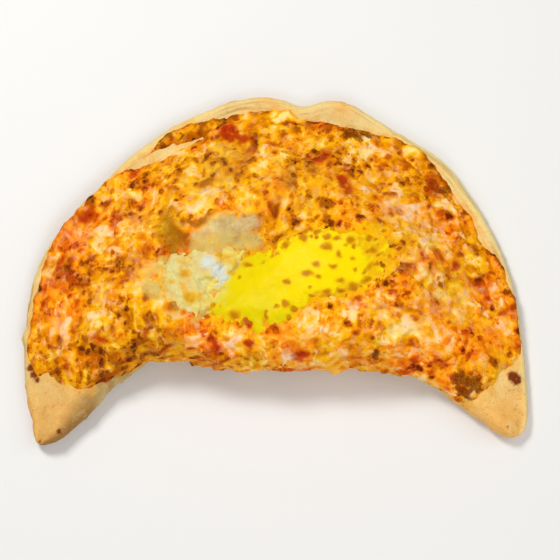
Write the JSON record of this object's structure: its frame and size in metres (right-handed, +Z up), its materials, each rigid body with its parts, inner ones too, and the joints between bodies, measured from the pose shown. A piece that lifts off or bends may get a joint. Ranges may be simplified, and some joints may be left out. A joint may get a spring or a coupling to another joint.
{
  "type": "calzone",
  "caption": "Baked calzone: pizza dough folded into a crescent over its filling, with a sealed rim, bare dough horns, browned melted cheese on top and a baked egg in the middle.",
  "frame": {"origin": "on the surface the calzone rests on, under the middle of its box in plan", "axes": "+X along the fold from the left horn to the right one, +Y from the fold to the sealed rim, +Z up"},
  "size_m": [0.2878, 0.2026, 0.0499],
  "materials": {
    "dough": "dry baked crust, pale gold, browner towards the horns",
    "cheese_topping": "melted cheese and tomato, oily, with browned blisters",
    "egg_white": "set egg white, slightly glossy",
    "egg_yolk": "set egg yolk, slightly glossy"
  },
  "bodies": {
    "root": {"dough": "dough", "cheese_topping": "cheese_topping", "egg_white": "egg_white", "egg_yolk": "egg_yolk"}
  },
  "joints": []
}
